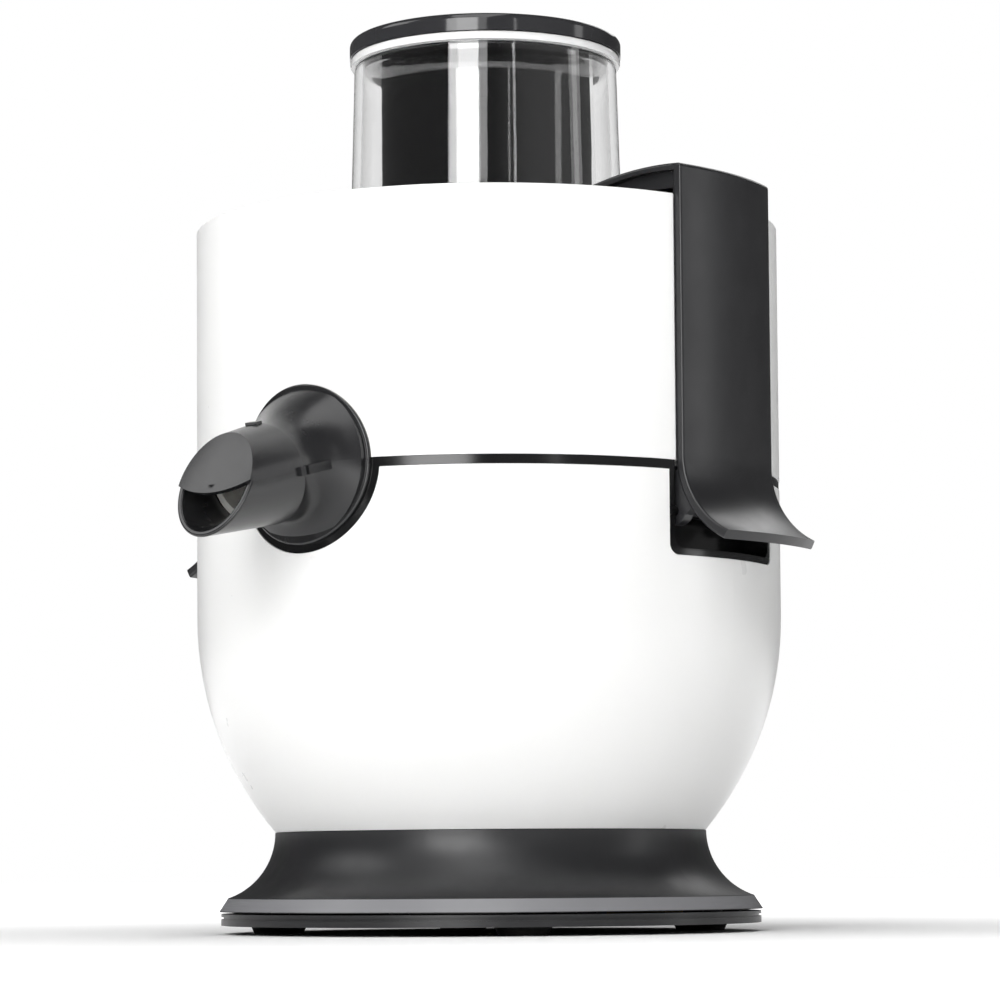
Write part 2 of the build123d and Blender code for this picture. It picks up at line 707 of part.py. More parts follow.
def speed_switch():
    case = block((-99.0, -80.0), (-13.0, 13.0), (KNOB_Z - 13, KNOB_Z + 13))
    case += rod_x(4.8, -108.5, -99.0, 0, KNOB_Z)
    for y in (-8.0, 0.0, 8.0):
        case += block((-80.0, -74.0), (y - 2.4, y + 2.4), (KNOB_Z - 8, KNOB_Z - 7.2))
    return case - rod_x(3.05, -120, -90, 0, KNOB_Z)


def knob_bezel():
    """The raised ring round the knob, shaped to the belly behind it."""
    pad = rod_x(BEZEL_R, -111.5, -96.0, 0, KNOB_Z) - rod_x(6.0, -120, -90, 0, KNOB_Z)
    return pad - envelope()


def speed_knob():
    x0 = -111.5 - GAP
    face = x0 - 8.0
    knob = rod_x(KNOB_R, face, x0, 0, KNOB_Z)
    knob = fillet(knob.edges().filter_by(GeomType.CIRCLE).sort_by(Axis.X)[:1], 1.2)
    grip = block((face - 6.0, face + 0.5), (-4.0, 4.0), (KNOB_Z - 15.5, KNOB_Z + 15.5))
    grip = fillet(grip.edges().filter_by(Axis.X), 3.5)
    return knob + grip - rod_x(3.0, -114.5, -100, 0, KNOB_Z)


def knob_pointer():
    """The light inlay that shows the setting."""
    return block((-126.4, -125.8), (-0.8, 0.8), (KNOB_Z + 6.0, KNOB_Z + 14.0))


def knob_spindle():
    return rod_x(3.0, -114.5, -92.0, 0, KNOB_Z)


def noise_filter():
    """The mains suppression capacitor, on the bottom plate."""
    case = block((46.0, 72.0), (10.0, 22.0), (5.8, 24.0))
    for x in (50.0, 68.0):
        case += rod(0.6, 24.0, 30.0, x, 16.0)
    return case


def cord_clamp():
    """The bar with two screws that grips the cord inside the foot."""
    bar = block((-14.0, 14.0), (58.0, 66.0), (13.4, 16.6))
    posts = [rod(4.0, 5.8, 13.4, x, 62.0) for x in (-9.5, 9.5)]
    return bar + posts - rod_y(3.6, 50, 70, 0, 12.6)


def shaft_seal():
    return ring(17.5, SHAFT_R + 0.15, 172.0, 175.0)


PARTS = {
    "lower_shell": lower_shell,
    "inner_frame": inner_frame,
    "flared_foot": flared_foot,
    "bottom_plate": bottom_plate,
    "base_screws": base_screws,
    "cord_gland": cord_gland,
    "cord_clamp": cord_clamp,
    "upper_housing": upper_housing,
    "juice_collector": juice_collector,
    "spout_bell": spout_bell,
    "spout_seal": spout_seal,
    "spout_nozzle": spout_nozzle,
    "lid": lid,
    "lid_seal": lid_seal,
    "pusher_body": pusher_body,
    "pusher_cap": pusher_cap,
    "drive_coupling": drive_coupling,
    "basket_hub": basket_hub,
    "strainer_mesh": strainer_mesh,
    "basket_rim": basket_rim,
    "grater_disc": grater_disc,
    "disc_nut": disc_nut,
    "shaft_seal": shaft_seal,
    "motor_shaft": motor_shaft,
    "upper_bearing": lambda: bearing(141.0),
    "lower_bearing": lambda: bearing(56.0),
    "armature_core": armature_core,
    "armature_windings": armature_windings,
    "commutator": commutator,
    "cooling_fan": cooling_fan,
    "motor_stator": motor_stator,
    "field_coil_front": lambda: field_coil(-1),
    "field_coil_rear": lambda: field_coil(1),
    "motor_upper_bracket": motor_upper_bracket,
    "motor_lower_bracket": motor_lower_bracket,
    "motor_bolts": motor_bolts,
    "motor_mounts": motor_mounts,
    "speed_switch": speed_switch,
    "speed_knob": speed_knob,
    "knob_bezel": knob_bezel,
    "knob_pointer": knob_pointer,
    "knob_spindle": knob_spindle,
    "pivot_pins": pivot_pins,
    "noise_filter": noise_filter,
}
for name, sign in SIDES.items():
    for piece in (clamp, interlock_plunger, interlock_switch,
                  brush_holder, carbon_brush, brush_spring):
        PARTS[f"{piece.__name__}_{name}"] = lambda piece=piece, sign=sign: piece(sign)
for y_name, y_sign in (("front", -1), ("rear", 1)):
    for x_name, x_sign in SIDES.items():
        at = FEET_AT / sqrt(2)
        PARTS[f"foot_{y_name}_{x_name}"] = lambda x=x_sign * at, y=y_sign * at: rubber_foot(x, y)


def as_shape(made):
    """One solid as it is, or a group of separate solids as a compound."""
    return Compound(children=made) if isinstance(made, list) else made


os.makedirs("parts", exist_ok=True)
for node, make in PARTS.items():
    export_step(as_shape(make()), f"parts/{node}.step")
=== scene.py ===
# %% [markdown]
# # A centrifugal juicer
# The machine comes in as solids in metres, +Z up, standing on z = 0. The spout points to -Y, the
# two clamps are at +X and -X, and the spin axis is the Z axis. This lesson gives each piece its
# finish, adds the small pieces that the solids leave out, and lights it like a studio product.

# %% Load the machine
import json
from math import atan2, cos, pi, radians, sin

import bmesh
import bpy
from mathutils import Matrix, Vector


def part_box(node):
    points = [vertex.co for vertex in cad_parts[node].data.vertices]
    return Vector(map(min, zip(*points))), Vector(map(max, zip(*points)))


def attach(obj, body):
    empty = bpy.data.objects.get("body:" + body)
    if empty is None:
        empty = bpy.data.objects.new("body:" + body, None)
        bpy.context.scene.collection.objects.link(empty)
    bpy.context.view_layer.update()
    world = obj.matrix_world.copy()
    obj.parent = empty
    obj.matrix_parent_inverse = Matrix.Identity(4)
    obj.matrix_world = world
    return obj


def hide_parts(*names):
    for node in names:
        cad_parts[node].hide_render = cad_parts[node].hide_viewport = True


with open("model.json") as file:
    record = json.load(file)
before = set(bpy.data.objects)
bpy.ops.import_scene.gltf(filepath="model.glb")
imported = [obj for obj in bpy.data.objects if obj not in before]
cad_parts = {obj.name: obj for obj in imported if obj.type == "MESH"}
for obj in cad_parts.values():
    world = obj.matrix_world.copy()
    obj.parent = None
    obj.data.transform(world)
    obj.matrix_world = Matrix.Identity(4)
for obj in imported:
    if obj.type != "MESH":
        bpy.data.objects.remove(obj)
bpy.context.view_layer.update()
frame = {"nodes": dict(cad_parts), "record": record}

NODES = frame["nodes"]
MM = 0.001

# %% [markdown]
# ## Where things are
# Heights and radii are read from the solids, so a piece made here sits where its neighbours are.

# %% Read sizes from the solids
def top(node):
    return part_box(node)[1].z


def bottom(node):
    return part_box(node)[0].z


def radius_x(node):
    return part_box(node)[1].x


BODY_R = radius_x("lower_shell")
print(f"body radius {BODY_R:.4f} m, seam at {top('lower_shell'):.4f} m")

# %% [markdown]
# ## The camera
# The machine is seen from about four of its own heights away, from just above the table. A level
# camera with all its framing done by shift would keep upright edges quite parallel, but the shift
# stays when the camera is moved round, and would cut the machine off. So the camera is tipped up
# by four degrees, which the long lens hardly shows, and a small shift does the rest.

# %% Camera
CAMERA_AZIMUTH = 36.9
CAMERA_DISTANCE = 1.361
CAMERA_HEIGHT = 0.0224
CAMERA_ROLL = -0.41
CAMERA_TIP = 4.0
CAMERA_SHIFT = (0.0108, 0.12)
LENS_MM = 129.9


def make_camera():
    data = bpy.data.cameras.new("product_camera")
    data.lens = LENS_MM
    data.sensor_width = 36.0
    data.shift_x, data.shift_y = CAMERA_SHIFT
    data.clip_start = 0.05
    data.dof.use_dof = False
    camera = bpy.data.objects.new("product_camera", data)
    bpy.context.scene.collection.objects.link(camera)
    turn = radians(CAMERA_AZIMUTH)
    place = Vector((sin(turn), -cos(turn), 0)) * CAMERA_DISTANCE + Vector((0, 0, CAMERA_HEIGHT))
    aim = Matrix.Rotation(turn, 4, "Z") @ Matrix.Rotation(radians(90 + CAMERA_TIP), 4, "X")
    roll = Matrix.Rotation(radians(CAMERA_ROLL), 4, "Z")
    camera.matrix_world = Matrix.Translation(place) @ aim @ roll
    bpy.context.scene.camera = camera
    return camera


camera = make_camera()
print(f"camera at {tuple(round(c, 3) for c in camera.location)}")

# %% [markdown]
# ## Colours and nodes
# Colours are written as the sRGB hex values that a paint chip or a design file gives. Shaders work
# in linear light, so one function turns them. Another adds a node with its settings and links, and
# small ones add what most finishes share: noise, relief and a colour that varies between two tones.

# %% Colour and node helpers
def linear(hex_colour):
    """An sRGB hex colour, such as "#f2f2f0", as linear RGBA."""
    values = [int(hex_colour[i : i + 2], 16) / 255 for i in (1, 3, 5)]
    return [v / 12.92 if v <= 0.04045 else ((v + 0.055) / 1.055) ** 2.4 for v in values] + [1.0]


def new_material(name):
    """A material with an empty tree but for the output, and its Principled shader."""
    material = bpy.data.materials.new(name)
    material.use_nodes = True
    tree = material.node_tree
    tree.nodes.clear()
    output = tree.nodes.new("ShaderNodeOutputMaterial")
    shader = tree.nodes.new("ShaderNodeBsdfPrincipled")
    tree.links.new(shader.outputs["BSDF"], output.inputs["Surface"])
    return material, tree, shader


def add(tree, kind, settings=None, **inputs):
    """Adds a node. Settings are its properties; inputs are values, or sockets to link from."""
    node = tree.nodes.new("ShaderNode" + kind)
    for key, value in (settings or {}).items():
        setattr(node, key, value)
    for key, value in inputs.items():
        socket = node.inputs[int(key[1:])] if key[0] == "_" else node.inputs[key.replace("_", " ")]
        if isinstance(value, bpy.types.NodeSocket):
            tree.links.new(value, socket)
        else:
            socket.default_value = value
    return node


def place(tree, scale=(1, 1, 1)):
    """Object coordinates, scaled along each axis."""
    coords = add(tree, "TexCoord").outputs["Object"]
    return add(tree, "Mapping", Vector=coords, Scale=scale).outputs[0]


def spread(tree, value, low, high, from_low=0.3, from_high=0.7):
    """A pattern's value, stretched to run from low to high."""
    sockets = {"From_Min": from_low, "From_Max": from_high, "To_Min": low, "To_Max": high}
    return add(tree, "MapRange", Value=value, **sockets).outputs["Result"]


def noise(tree, vector, size_mm, detail=3.0, rough=0.5):
    """Noise whose blobs are about size_mm wide."""
    fac = add(tree, "TexNoise", Vector=vector, Scale=1000.0 / size_mm, Detail=detail, Roughness=rough)
    return fac.outputs["Fac"]


def calc(tree, operation, a, b):
    """One Math node. A comparison gives 1 where it holds and 0 where it doesn't."""
    return add(tree, "Math", {"operation": operation}, _0=a, _1=b).outputs[0]


def bump(tree, shader, height, depth_mm, strength=1.0):
    """Relief of a given depth, in millimetres, on the shader's normal."""
    node = add(tree, "Bump", Height=height, Distance=depth_mm * MM, Strength=strength)
    tree.links.new(node.outputs[0], shader.inputs["Normal"])


def two_tone(tree, shader, pattern, dark, light, low=0.3, high=0.7):
    """The base colour goes from dark to light while a pattern's value goes from low to high."""
    ramp = add(tree, "ValToRGB", Fac=pattern)
    first, last = ramp.color_ramp.elements
    first.position, first.color = low, dark
    last.position, last.color = high, light
    tree.links.new(ramp.outputs[0], shader.inputs["Base Color"])


# %% [markdown]
# ## White casing: glossy ABS
# The two white shells are ABS moulded in a polished tool. That leaves a gloss with a very faint
# orange peel, a few millimetres wide. Washing has softened the gloss, more in some patches than in
# others. The plastic lets a little light in, and its colour is a trifle uneven.

# %% Glossy white ABS
def glossy_white_abs():
    material, tree, shader = new_material("glossy_white_abs")
    at = place(tree)
    two_tone(tree, shader, noise(tree, at, 90, detail=1), linear("#ececeb"), linear("#efefee"))
    handled = noise(tree, at, 30, detail=4, rough=0.55)
    tree.links.new(spread(tree, handled, 0.27, 0.33), shader.inputs["Roughness"])
    bump(tree, shader, noise(tree, at, 4.0, detail=2), 0.006)
    shader.inputs["IOR"].default_value = 1.52
    shader.inputs["Subsurface Weight"].default_value = 0.06
    shader.inputs["Subsurface Radius"].default_value = (0.004, 0.004, 0.0035)
    shader.inputs["Subsurface Scale"].default_value = 1.0
    return material


# %% [markdown]
# ## Dark levers and spout: grained ABS
# The charcoal pieces come from a tool with a fine spark-eroded grain, under half a millimetre
# wide. It breaks the reflection into a broad soft sheen, so curved pieces go from near black to
# mid grey. Patches that hands have rubbed are a little smoother.

# %% Grained charcoal ABS
def grained_charcoal_abs(name="grained_charcoal_abs", low=0.28, high=0.36, relief=0.6,
                         dark="#1d1d1f", light="#232325"):
    material, tree, shader = new_material(name)
    at = place(tree)
    two_tone(tree, shader, noise(tree, at, 35, detail=3), linear(dark), linear(light))
    rubbed = noise(tree, at, 16, detail=5, rough=0.65)
    tree.links.new(spread(tree, rubbed, low, high), shader.inputs["Roughness"])
    bump(tree, shader, noise(tree, at, 0.45, detail=2), 0.02, relief)
    shader.inputs["IOR"].default_value = 1.53
    return material


# %% [markdown]
# ## Foot: smooth charcoal ABS with a painted highlight band
# The flared foot is smooth, with hardly any grain, and shows the soft boxes as blurred patches.
# Round its lower edge runs a slanted band, not quite 5 mm high, in a paler grey: a painted
# highlight, where the slope would mirror the light from above. The band also has a streaked satin
# roughness. Both finishes are one material: the height of a point picks the colour and the
# roughness, with a step narrow enough to look like an edge.

# %% Smooth charcoal ABS with a painted highlight band
PAINTED_FOOT_HIGHLIGHT_LOW = 8.6 * MM
PAINTED_FOOT_HIGHLIGHT_HIGH = 13.2 * MM
PAINTED_FOOT_HIGHLIGHT_EDGE = 0.1 * MM


def charcoal_abs_with_painted_highlight():
    material, tree, shader = new_material("smooth_charcoal_abs_with_painted_highlight_band")
    at = place(tree)
    height = add(tree, "SeparateXYZ", Vector=at).outputs[2]
    below = spread(tree, height, 1.0, 0.0, PAINTED_FOOT_HIGHLIGHT_HIGH - PAINTED_FOOT_HIGHLIGHT_EDGE, PAINTED_FOOT_HIGHLIGHT_HIGH + PAINTED_FOOT_HIGHLIGHT_EDGE)
    above = spread(tree, height, 0.0, 1.0, PAINTED_FOOT_HIGHLIGHT_LOW - PAINTED_FOOT_HIGHLIGHT_EDGE, PAINTED_FOOT_HIGHLIGHT_LOW + PAINTED_FOOT_HIGHLIGHT_EDGE)
    painted_highlight_band = calc(tree, "MULTIPLY", below, above)
    # The paler grey in the band is a painted highlight; the dark grey is the foot's own colour.
    dark, painted_highlight_grey = linear("#1f1f21"), linear("#838386")
    tint = add(tree, "Mix", {"data_type": "RGBA"}, _0=painted_highlight_band, _6=dark, _7=painted_highlight_grey)
    tree.links.new(tint.outputs[2], shader.inputs["Base Color"])
    haze = spread(tree, noise(tree, at, 14, detail=5, rough=0.6), 0.34, 0.42)
    streaks = spread(tree, noise(tree, place(tree, scale=(1, 1, 20)), 12, detail=4), 0.32, 0.46)
    rough = add(tree, "Mix", {"data_type": "FLOAT"}, _0=painted_highlight_band, _2=haze, _3=streaks)
    tree.links.new(rough.outputs[0], shader.inputs["Roughness"])
    bump(tree, shader, noise(tree, at, 0.45, detail=2), 0.004)
    shader.inputs["IOR"].default_value = 1.53
    return material


# %% [markdown]
# ## Black trim: glossy ABS
# The band between the shells and the pockets behind the clamps are one black moulding, from a
# polished tool. Only a fine haze breaks its gloss.

# %% Glossy black ABS
def glossy_black_abs(name="glossy_black_abs", colour="#0e0e0f", low=0.12, high=0.2, level=0.5):
    material, tree, shader = new_material(name)
    at = place(tree)
    shader.inputs["Base Color"].default_value = linear(colour)
    haze = noise(tree, at, 18, detail=6, rough=0.6)
    tree.links.new(spread(tree, haze, low, high), shader.inputs["Roughness"])
    bump(tree, shader, noise(tree, at, 3.0, detail=2), 0.004)
    shader.inputs["IOR"].default_value = 1.53
    shader.inputs["Specular IOR Level"].default_value = level
    return material


# %% [markdown]
# ## Lid and feed tube: clear SAN
# The lid is styrene acrylonitrile, moulded clear and left polished. It refracts like glass, IOR
# 1.57, and knocks and washing leave fine scratches that only show in the highlights. The top 2.8 mm
# of the tube, below the black cap, is only a quarter as clear and shows white: a painted
# highlight, standing in for the light that the polished rim refracts.

# %% Clear SAN
PAINTED_RIM_HIGHLIGHT_H = 2.8 * MM
PAINTED_RIM_HIGHLIGHT_FADE = 0.2 * MM


def clear_san():
    material, tree, shader = new_material("clear_san")
    at = place(tree, scale=(1, 1, 0.25))
    scratches = noise(tree, at, 1.2, detail=6, rough=0.7)
    tree.links.new(spread(tree, scratches, 0.015, 0.07, 0.45, 0.75), shader.inputs["Roughness"])
    bump(tree, shader, noise(tree, place(tree), 12.0, detail=2), 0.02)
    shader.inputs["Base Color"].default_value = linear("#fcfcfc")
    shader.inputs["IOR"].default_value = 1.57
    # Above the rim's lower edge the clearness drops to a quarter, which paints the rim white as a
    # highlight.
    height = add(tree, "SeparateXYZ", Vector=place(tree)).outputs[2]
    collar = top("lid") - PAINTED_RIM_HIGHLIGHT_H
    clear = spread(tree, height, 1.0, 0.25, collar - PAINTED_RIM_HIGHLIGHT_FADE, collar + PAINTED_RIM_HIGHLIGHT_FADE / 2)
    tree.links.new(clear, shader.inputs["Transmission Weight"])
    return material


# %% [markdown]
# ## Rubber and silicone
# The feet and the cord's bush are black rubber: matte, a little dusty. The seals are clear
# silicone that has gone milky.

# %% Rubber and silicone
def black_rubber():
    material, tree, shader = new_material("black_rubber")
    at = place(tree)
    dust = noise(tree, at, 5, detail=6, rough=0.7)
    two_tone(tree, shader, dust, linear("#161616"), linear("#2b2a29"), 0.4, 0.8)
    tree.links.new(spread(tree, dust, 0.7, 0.88), shader.inputs["Roughness"])
    bump(tree, shader, noise(tree, at, 0.7, detail=3), 0.03, 0.7)
    return material


def milky_silicone():
    material, tree, shader = new_material("milky_silicone")
    at = place(tree)
    shader.inputs["Base Color"].default_value = linear("#dcdcd8")
    shader.inputs["IOR"].default_value = 1.41
    shader.inputs["Transmission Weight"].default_value = 0.45
    haze = noise(tree, at, 6, detail=4)
    tree.links.new(spread(tree, haze, 0.35, 0.55), shader.inputs["Roughness"])
    bump(tree, shader, noise(tree, at, 1.5, detail=2), 0.02)
    return material


# %% [markdown]
# ## Metals
# A metal's colour is its reflection, so metallic is 1 and the IOR stays at its default. Turned
# and rolled surfaces have fine lines along the tool's path: on round pieces they run round the
# axis, so the pattern is stretched noise read by height and radius.

# %% Metals
SHEET_SCALE = 500 / pi
TURN_SCALE = 320.0


def lined_metal(name, colour, low, high, stretch=(1, 1, 14), line_mm=6.0, depth_mm=0.006):
    """A metal with fine tool lines: noise squeezed across them and stretched along them."""
    material, tree, shader = new_material(name)
    shader.inputs["Base Color"].default_value = linear(colour)
    shader.inputs["Metallic"].default_value = 1.0
    lines = noise(tree, place(tree, scale=stretch), line_mm, detail=6, rough=0.65)
    tree.links.new(spread(tree, lines, low, high), shader.inputs["Roughness"])
    bump(tree, shader, lines, depth_mm)
    return material


def stacked(tree, at, scale, distortion, detail):
    """Level waves, each 2 pi / (20 x scale) metres high."""
    waves = add(tree, "TexWave", {"bands_direction": "Z"}, Vector=at, Scale=scale,
                Distortion=distortion, Detail=detail)
    return waves.outputs["Fac"]


def sheet_stack():
    """Bare steel sheets, pressed together. The sheets are 0.5 mm thick; a groove shows every 2 mm."""
    material, tree, shader = new_material("electrical_steel_stack")
    at = place(tree)
    sheets = stacked(tree, at, SHEET_SCALE, 0.2, 1.0)
    two_tone(tree, shader, sheets, linear("#3a3a3d"), linear("#76767a"), 0.0, 1.0)
    shader.inputs["Metallic"].default_value = 1.0
    tree.links.new(spread(tree, noise(tree, at, 4, 5), 0.38, 0.55), shader.inputs["Roughness"])
    bump(tree, shader, sheets, 0.08)
    return material


def wound_copper():
    """Enamelled copper wire, laid turn by turn, with a turn every millimetre."""
    material, tree, shader = new_material("enamelled_copper_wire")
    at = place(tree)
    turns = stacked(tree, at, TURN_SCALE, 1.2, 2.0)
    two_tone(tree, shader, turns, linear("#5d2713"), linear("#c0703f"), 0.0, 1.0)
    shader.inputs["Metallic"].default_value = 1.0
    shader.inputs["Coat Weight"].default_value = 0.6
    tree.links.new(spread(tree, noise(tree, at, 3, 4), 0.25, 0.42), shader.inputs["Roughness"])
    bump(tree, shader, turns, 0.12)
    return material


# %% [markdown]
# ## Strainer: etched stainless steel
# The basket's wall is a thin stainless sheet with thousands of fine holes. Each is a dark dot in
# a regular grid round the cone. The real ones are about 0.5 mm wide, which a picture of the whole
# machine can't show, so they are drawn 1.2 mm apart as sunken dots.

# %% Perforated stainless steel
UNROLLED_R = 60 * MM
HOLES_PER_METRE = 830.0


def perforated_stainless():
    material, tree, shader = new_material("perforated_stainless_steel")
    at = place(tree)
    split = add(tree, "SeparateXYZ", Vector=at)
    angle = calc(tree, "ARCTAN2", split.outputs[1], split.outputs[0])
    along = calc(tree, "MULTIPLY", angle, UNROLLED_R)
    flat = add(tree, "CombineXYZ", X=along, Y=split.outputs[2])
    cells = add(tree, "TexVoronoi", {"voronoi_dimensions": "2D"}, Vector=flat.outputs[0],
                Scale=HOLES_PER_METRE, Randomness=0.0)
    metal = spread(tree, cells.outputs["Distance"], 0.0, 1.0, 0.28, 0.36)
    two_tone(tree, shader, metal, linear("#0c0c0c"), linear("#c4c4c2"), 0.0, 1.0)
    shader.inputs["Metallic"].default_value = 1.0
    tree.links.new(spread(tree, noise(tree, at, 3, 5), 0.24, 0.4), shader.inputs["Roughness"])
    bump(tree, shader, metal, 0.15)
    return material


# %% [markdown]
# ## The rest of the plastics
# Inside, nobody sees the finish, so those pieces are plain: grey nylon, milky polypropylene for the
# bowl, a yellow case for the filter, and pressed carbon brushes. The white inlay of the knob's
# pointer is as plain. The colour of all of them goes a little darker in clouds.

# %% Inner plastics
CLOUD_SHADE = 0.88


def plain_plastic(name, colour, low, high, ior=1.5, peel_mm=1.5):
    material, tree, shader = new_material(name)
    at = place(tree)
    shade = noise(tree, at, 12, detail=4)
    base = linear(colour)
    two_tone(tree, shader, shade, [c * CLOUD_SHADE for c in base[:3]] + [1.0], base)
    tree.links.new(spread(tree, shade, low, high), shader.inputs["Roughness"])
    bump(tree, shader, noise(tree, at, peel_mm, detail=3), 0.02)
    shader.inputs["IOR"].default_value = ior
    return material


# %% Which finish goes on which slot
FINISHES = {
    "white_shell": glossy_white_abs(),
    "dark_plastic": grained_charcoal_abs(),
    "black_frame": glossy_black_abs(),
    "clear_plastic": clear_san(),
    "pusher_black": glossy_black_abs("pusher_black_abs", "#08080a", 0.05, 0.1, 0.9),
    "rubber": black_rubber(),
    "silicone": milky_silicone(),
    "bowl_plastic": plain_plastic("milky_polypropylene", "#e4e4de", 0.3, 0.45),
    "stainless": lined_metal("spun_stainless_steel", "#c9c9c7", 0.2, 0.36),
    "zinc_steel": lined_metal("zinc_plated_steel", "#c3c4bf", 0.22, 0.4, (1, 1, 1), 2.0),
    "bearing_steel": lined_metal("ground_bearing_steel", "#c8c8c8", 0.12, 0.24),
    "lamination": sheet_stack(),
    "copper": wound_copper(),
    "brass": lined_metal("stamped_brass", "#c9a55c", 0.26, 0.42, (1, 1, 1), 3.0),
    "carbon": plain_plastic("pressed_carbon", "#1c1c1d", 0.55, 0.7, peel_mm=0.5),
    "grey_plastic": plain_plastic("grey_nylon", "#6d7073", 0.45, 0.6, 1.53),
    "die_cast": lined_metal("die_cast_aluminium", "#b4b6b8", 0.38, 0.55, (1, 1, 1), 1.5, 0.02),
    "filter_yellow": plain_plastic("yellow_filter_case", "#b8912c", 0.35, 0.5),
    "pointer_white": plain_plastic("white_inlay", "#e9e9e6", 0.4, 0.5),
}
SLOT_OF = {entry["node"]: entry["material_slot"] for entry in frame["record"]["subparts"]}
for node, solid in NODES.items():
    finish = FINISHES[SLOT_OF[node]]
    if not solid.material_slots:
        solid.data.materials.append(finish)
    for slot in solid.material_slots:
        slot.material = finish
SPOUT_FINISH = grained_charcoal_abs("satin_charcoal_abs", 0.2, 0.28, 0.3, "#19191a", "#1f1f21")
OWN_FINISHES = {
    "flared_foot": charcoal_abs_with_painted_highlight(),
    "pusher_cap": grained_charcoal_abs("polished_cap_abs", 0.06, 0.12, 0.1, "#29292b", "#2f2f31"),
    "spout_bell": SPOUT_FINISH,
    "spout_nozzle": SPOUT_FINISH,
    # The pivot pins sit in the dark clamp pockets; their near-black colour is painted shade.
    "pivot_pins": lined_metal("steel_darkened_as_painted_shade", "#1b1b1c", 0.3, 0.45, (1, 1, 1), 2.0),
    "strainer_mesh": perforated_stainless(),
}
for node, finish in OWN_FINISHES.items():
    NODES[node].material_slots[0].material = finish
print(f"{len(FINISHES)} finishes on {len(NODES)} solids, {len(OWN_FINISHES)} with their own")

# %% [markdown]
# ## Modelling by hand, in code
# New pieces start as a primitive of the right size and are shaped in edit mode. An operator acts on
# whatever is selected, so each step first deselects everything and then picks faces or edges by
# where they are. At the end the place goes into the mesh, the piece is told which body it rides on,
# and the solid it stands for is hidden.

# %% Modelling helpers
NEAR = 0.1 * MM


def select_none():
    if bpy.context.mode != "OBJECT":
        bpy.ops.object.mode_set(mode="OBJECT")
    bpy.ops.object.select_all(action="DESELECT")


def open_edit(piece):
    """Opens one piece in edit mode, with its place in the mesh and nothing selected."""
    select_none()
    piece.select_set(True)
    bpy.context.view_layer.objects.active = piece
    bpy.ops.object.transform_apply(location=True, rotation=True, scale=True)
    bpy.ops.object.mode_set(mode="EDIT")
    bpy.ops.mesh.select_all(action="DESELECT")


def pick(piece, wanted, edges=False):
    """Selects the faces, or edges, for which wanted is true, and nothing else."""
    bpy.ops.mesh.select_mode(type="EDGE" if edges else "FACE")
    bpy.ops.mesh.select_all(action="DESELECT")
    mesh = bmesh.from_edit_mesh(piece.data)
    mesh.normal_update()
    if edges:
        for edge in mesh.edges:
            ends = [vertex.co for vertex in edge.verts]
            if wanted(*ends):
                edge.select_set(True)
    else:
        for face in mesh.faces:
            if wanted(face.calc_center_median(), face.normal):
                face.select_set(True)
    bmesh.update_edit_mesh(piece.data)


def inset(across_mm, deep_mm=0.0, each=False):
    """Insets the selected faces, and sinks (minus) or raises (plus) what is inside."""
    bpy.ops.mesh.inset(thickness=across_mm * MM, depth=deep_mm * MM, use_individual=each)


def join(pieces, name):
    """Makes one object of several."""
    select_none()
    for piece in pieces:
        piece.select_set(True)
    bpy.context.view_layer.objects.active = pieces[0]
    bpy.ops.object.transform_apply(location=True, rotation=True, scale=True)
    if len(pieces) > 1:
        bpy.ops.object.join()
    bpy.context.object.name = name
    return bpy.context.object


def copy_to(piece, x, y):
    """A copy of a piece with its own mesh, moved sideways."""
    copy = piece.copy()
    copy.data = piece.data.copy()
    copy.location = (x, y, 0)
    bpy.context.scene.collection.objects.link(copy)
    return copy


def hand_in(piece, finish, slot, body, *nodes):
    """Smooths a finished piece, gives it its finish, and says where it belongs."""
    select_none()
    piece.select_set(True)
    bpy.context.view_layer.objects.active = piece
    bpy.ops.object.transform_apply(location=True, rotation=True, scale=True)
    bpy.ops.object.shade_smooth_by_angle(angle=radians(32))
    piece.data.materials.clear()
    piece.data.materials.append(finish)
    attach(piece, body)
    if nodes:
        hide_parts(*nodes)
    print(f"{piece.name}: {len(piece.data.polygons)} faces, rides on {body}")


# %% [markdown]
# ## The rubber feet
# Each foot is a short rubber cone, wider at the plate. Its sole has a grip ring and a hollow in the
# middle where the moulding pin was. Insets that step in and out give both, with no lathe profile.

# %% Rubber feet
FEET = [node for node in NODES if node.startswith("foot_")]
SOLE_R = 9.0 * MM
FOOT_TOP_R = 10.5 * MM


def rubber_foot():
    height = top(FEET[0])
    select_none()
    bpy.ops.mesh.primitive_cone_add(vertices=48, radius1=SOLE_R, radius2=FOOT_TOP_R, depth=height,
                                    location=(0, 0, height / 2))
    foot = bpy.context.object
    open_edit(foot)
    pick(foot, lambda at, normal: normal.z < -0.9)
    for across, deep in ((1.5, 0), (0.3, -0.6), (0.9, 0), (0.3, 0.6), (1.4, 0), (0.3, -1.0)):
        inset(across, deep)
    on_sole = 0.3 * MM
    pick(foot, lambda a, b: max(a.z, b.z) < on_sole and min(a.xy.length, b.xy.length) > 0.97 * SOLE_R,
         edges=True)
    bpy.ops.mesh.bevel(offset=0.35 * MM, segments=2)
    select_none()
    return foot


foot = rubber_foot()
for node in FEET:
    low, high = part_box(node)
    pad = copy_to(foot, (low.x + high.x) / 2, (low.y + high.y) / 2)
    pad.name = f"gripping_{node}"
    hand_in(pad, FINISHES["rubber"], "rubber", "machine", node)
bpy.data.objects.remove(foot)

# %% [markdown]
# ## The plate's screws
# Four pan-head screws hold the bottom plate. A screw is a disc whose far face is inset and then
# drawn out step by step, wide and narrow in turn, which reads as a thread. The cross in the head
# is cut by two crossed bars, with one boolean each.

